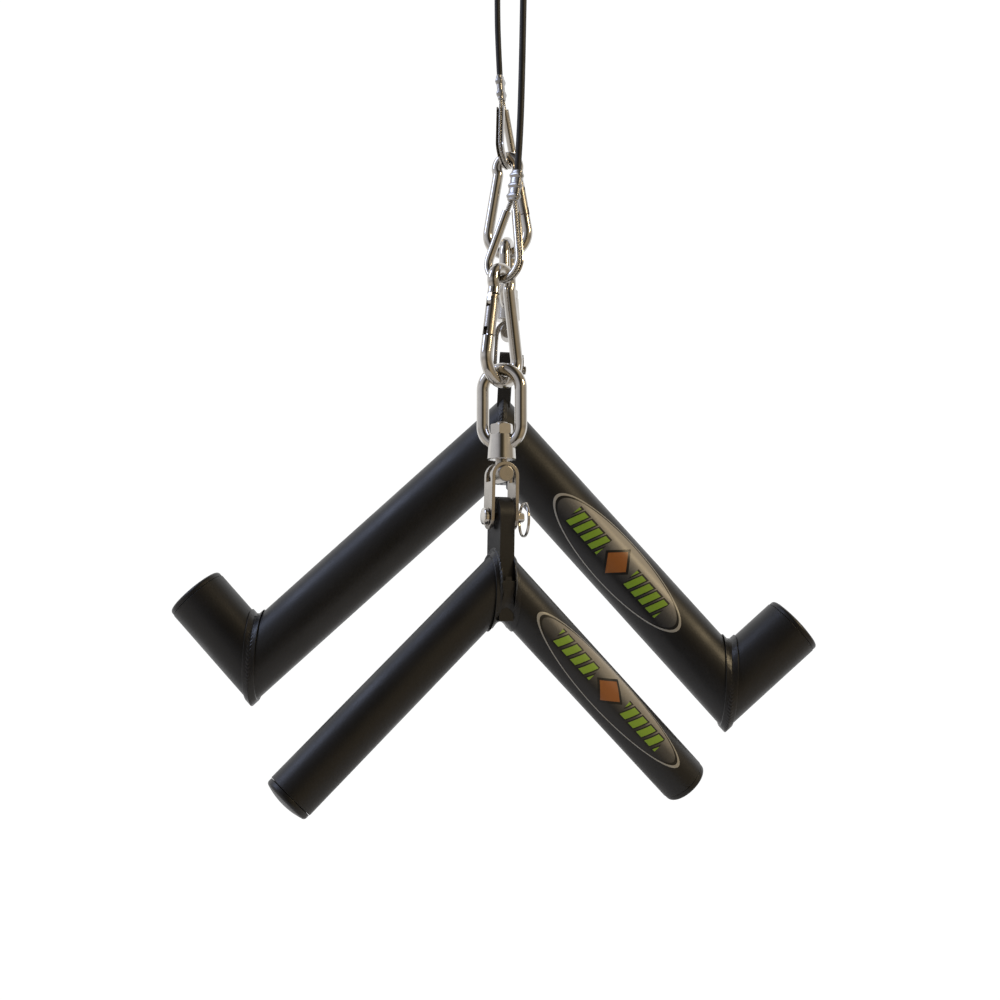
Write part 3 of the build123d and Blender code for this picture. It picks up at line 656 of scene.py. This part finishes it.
# ---- split ring ----------------------------------------------------------------------------------
def split_ring(name):
    """Two close turns of spring wire through the pin's cross hole."""
    place = bar_place(name) @ Matrix.Translation((CROSS_HOLE_X, 0, PIN_Z))
    place = place @ Matrix.Rotation(SPLIT_TURN, 4, "Z")
    place = place @ Matrix.Rotation(SPLIT_SAG, 4, "X") @ Matrix.Translation((0, -SPLIT_RING_R, 0))
    turns, start, steps, sides = 1.93, 2.2, 150, 12
    rings = []
    for i in range(steps + 1):
        a = turns * tau * i / steps + start
        across = SPLIT_PITCH * (2 * i / steps - 1) * 0.5
        out = Vector((0, cos(a), sin(a)))
        centre = Vector((across, 0, 0)) + out * SPLIT_RING_R
        ring = []
        for k in range(sides):
            b = tau * k / sides
            offset = Vector((cos(b), 0, 0)) + out * sin(b)
            ring.append(place @ (centre + offset * SPLIT_WIRE_R))
        rings.append(ring)
    node = f"{name}_split_ring"
    return settle(add_piece(loft(rings), node + "_coil", FINISHES["polished_steel"], 50.0), node)


# ---- welds and labels ----------------------------------------------------------------------------
def arm_dir(side, climb=-1):
    """A tube's direction: out to one side, and down, or up for a stub."""
    return Vector((side, 0, climb)).normalized()


def tube_normal(direction, turn):
    """Outward from a tube's axis: turn is 0 towards +Y and a quarter turn at its upper side."""
    above = Vector((-direction.z, 0, direction.x))
    if above.z < 0:
        above = -above
    return Vector((0, cos(turn), 0)) + above * sin(turn)


def tube_run(direction):
    """A tube's surface beside a weld: the way along it, and its normal at a turn."""
    return (lambda turn: direction, lambda turn: tube_normal(direction, turn))


def bead(place, middle, r, runs, width, height, seed, under=1.0):
    """A rippled bead over the oval where two surfaces meet: runs gives each one's way out and its normal.

    Under is how much of the bead is left at the oval's lowest point."""
    rings_per_ripple, half_steps = 8, 4
    count = int(tau * r * OVAL_STRETCH / RIPPLE) * rings_per_ripple
    rings = []
    for i in range(count):
        turn = tau * i / count
        spot = middle + Vector((0, r * cos(turn), r * sqrt(2) * sin(turn)))
        wave = 1 + 0.13 * cos(tau * i / rings_per_ripple + 1.6 * sin(3 * turn + seed)) + 0.16 * sin(2 * turn + 2 * seed)
        spill = 1 + 0.12 * sin(5 * turn + seed) + 0.07 * sin(11 * turn + 3 * seed)
        left = 1 - (1 - under) * max(0.0, -sin(turn)) ** 0.8
        outs = [normal(turn) for _, normal in runs]
        crown = (outs[0] + outs[1]).normalized()
        ring = []
        for step in range(-half_steps, half_steps + 1):
            t = abs(step) / half_steps
            which = 0 if step < 0 else 1
            way = runs[which][0](turn) * width * left * spill * t
            out = crown.lerp(outs[which], t).normalized()
            ring.append(place @ (spot + way + out * height * left * wave * sqrt(max(0.0, 1 - t**2))))
        for which in (1, 0):
            ring.append(place @ (spot + runs[which][0](turn) * width * left - outs[which] * BEAD_SINK))
        rings.append(ring)
    return loft(rings, closed=True)


def weld_piece(name, joint, beads):
    """The welds of one joint: their plain bands, with rippled beads on them."""
    node = f"{name}_{joint}_welds"
    bands = rounded(frame["nodes"][node].data.copy(), node + "_bands", 0.45)
    piece = add_piece(joined([bands, *beads], node + "_beads"), node + "_beads", FINISHES["weld_bead"], 60.0)
    return settle(piece, node)


def throat_fill(place, apex, r, lowest):
    """The weld metal that rounds off the inner corner between the two tubes, below the lug."""
    rings, steps, half_steps = [], 48, 5
    for i in range(steps + 1):
        turn = pi + (pi * i / steps)
        root = apex + Vector((0, (r + THROAT_PROUD) * cos(turn), r * sqrt(2) * sin(turn)))
        fill = (0.45 + 0.55 * sin(pi * i / steps)) * lowest * (1 + 0.05 * sin(9 * turn))
        ring = []
        for step in range(-half_steps, half_steps + 1):
            x = 1.7 * fill * step / half_steps
            ring.append(root + Vector((x, 0, -fill - 0.45 * x * x / fill)))
        ring += [root + Vector((x, 0, THROAT_ROOT)) for x in (1.2 * fill, -1.2 * fill)]
        rings.append([place @ spot for spot in ring])
    return loft(rings)


def apex_weld(name):
    spec, place, beads = SETS[name], bar_place(name), []
    apex = Vector((0, 0, -spec["stem"]))
    if spec["stub"]:
        runs = [tube_run(arm_dir(side)) for side in (-1, 1)]
        return weld_piece(name, "apex", [bead(place, apex, spec["tube_r"], runs, 3.6 * MM, 1.5 * MM, 0.4)])
    beads.append(throat_fill(place, apex, spec["tube_r"], THROAT_FILL))
    for side in (-1, 1):
        plate = (lambda turn: Vector((0, cos(turn), sin(turn))), lambda turn, s=side: Vector((s, 0, 0)))
        tube = tube_run(arm_dir(side))
        middle = apex + Vector((side * LUG_T / 2, 0, -LUG_T / 2))
        beads.append(bead(place, middle, spec["tube_r"], [plate, tube], 2.6 * MM, 1.1 * MM, 1.3 + side, 0.12))
    return weld_piece(name, "apex", beads)


def elbow_weld(name):
    spec, place, beads = SETS[name], bar_place(name), []
    for side in (-1, 1):
        elbow = Vector((0, 0, -spec["stem"])) + arm_dir(side) * spec["arm"]
        runs = [tube_run(-arm_dir(side)), tube_run(arm_dir(side, 1))]
        beads.append(bead(place, elbow, spec["tube_r"], runs, 4.4 * MM, 1.15 * MM, 2.1 + side))
    return weld_piece(name, "elbow", beads)


def oval_label(name):
    """A thin oval laid round the front of the right arm."""
    spec, place = SETS[name], bar_place(name)
    heading = arm_dir(1)
    upper = Vector((-heading.z, 0, heading.x))
    middle = Vector((0, 0, -spec["stem"])) + heading * spec["label_mid"]
    turns, steps = 120, 26
    skins = [(i / steps, LABEL_T) for i in range(1, steps)] + [(0.985, LABEL_T), (1.0, 0.6 * LABEL_T)]
    skins += [(1.0, -LABEL_SINK)] + [(i / steps, -LABEL_SINK) for i in range(steps - 1, 0, -5)]
    rings = []
    for part, thick in skins:
        ring = []
        for k in range(turns):
            a = tau * k / turns
            along = part * spec["label_l"] / 2 * cos(a)
            across = part * spec["label_w"] / 2 * sin(a)
            lean = asin(across / (spec["tube_r"] + LABEL_T))
            out = Vector((0, -cos(lean), 0)) + upper * sin(lean)
            ring.append(place @ (middle + heading * along + out * (spec["tube_r"] + thick)))
        rings.append(ring)
    mesh = loft(rings)
    oval = mesh.uv_layers.new(name="oval")
    for loop in mesh.loops:
        part, a = skins[loop.vertex_index // turns][0], tau * (loop.vertex_index % turns) / turns
        oval.data[loop.index].uv = (0.5 + 0.5 * part * cos(a), 0.5 + 0.5 * part * sin(a))
    node = f"{name}_label"
    return settle(add_piece(mesh, node + "_oval", FINISHES["printed_label"], 40.0), node)


# ---- build ---------------------------------------------------------------------------------------
def dress_nodes():
    made_here = ("rope_loop", "thimble", "ferrule", "jacketed_rope", "split_ring", "_welds", "label")
    for node in sorted(frame["nodes"]):
        if not node.endswith(made_here):
            dressed(node)


make_camera()
studio_world()
make_floor()
softbox("warm_lamp", (1.6, -0.9, 0.45), (0, 0, -0.5), (0.35, 0.5), 12, (1.0, 0.8, 0.5))
softbox("cool_window", (-1.7, -0.3, 0.9), (0, 0, -0.5), (0.7, 1.2), 12, (0.6, 0.7, 1.0))
for set_name in SETS:
    fittings = [maker(set_name, "lower") for maker in (wire_loop, thimble, ferrule)]
    for maker in (wire_loop, thimble, ferrule):
        maker(set_name, "upper")
    jacketed_rope(set_name)
    split_ring(set_name)
    apex_weld(set_name)
    oval_label(set_name)
elbow_weld("rear")
dress_nodes()

scene.view_settings.view_transform = "Standard"
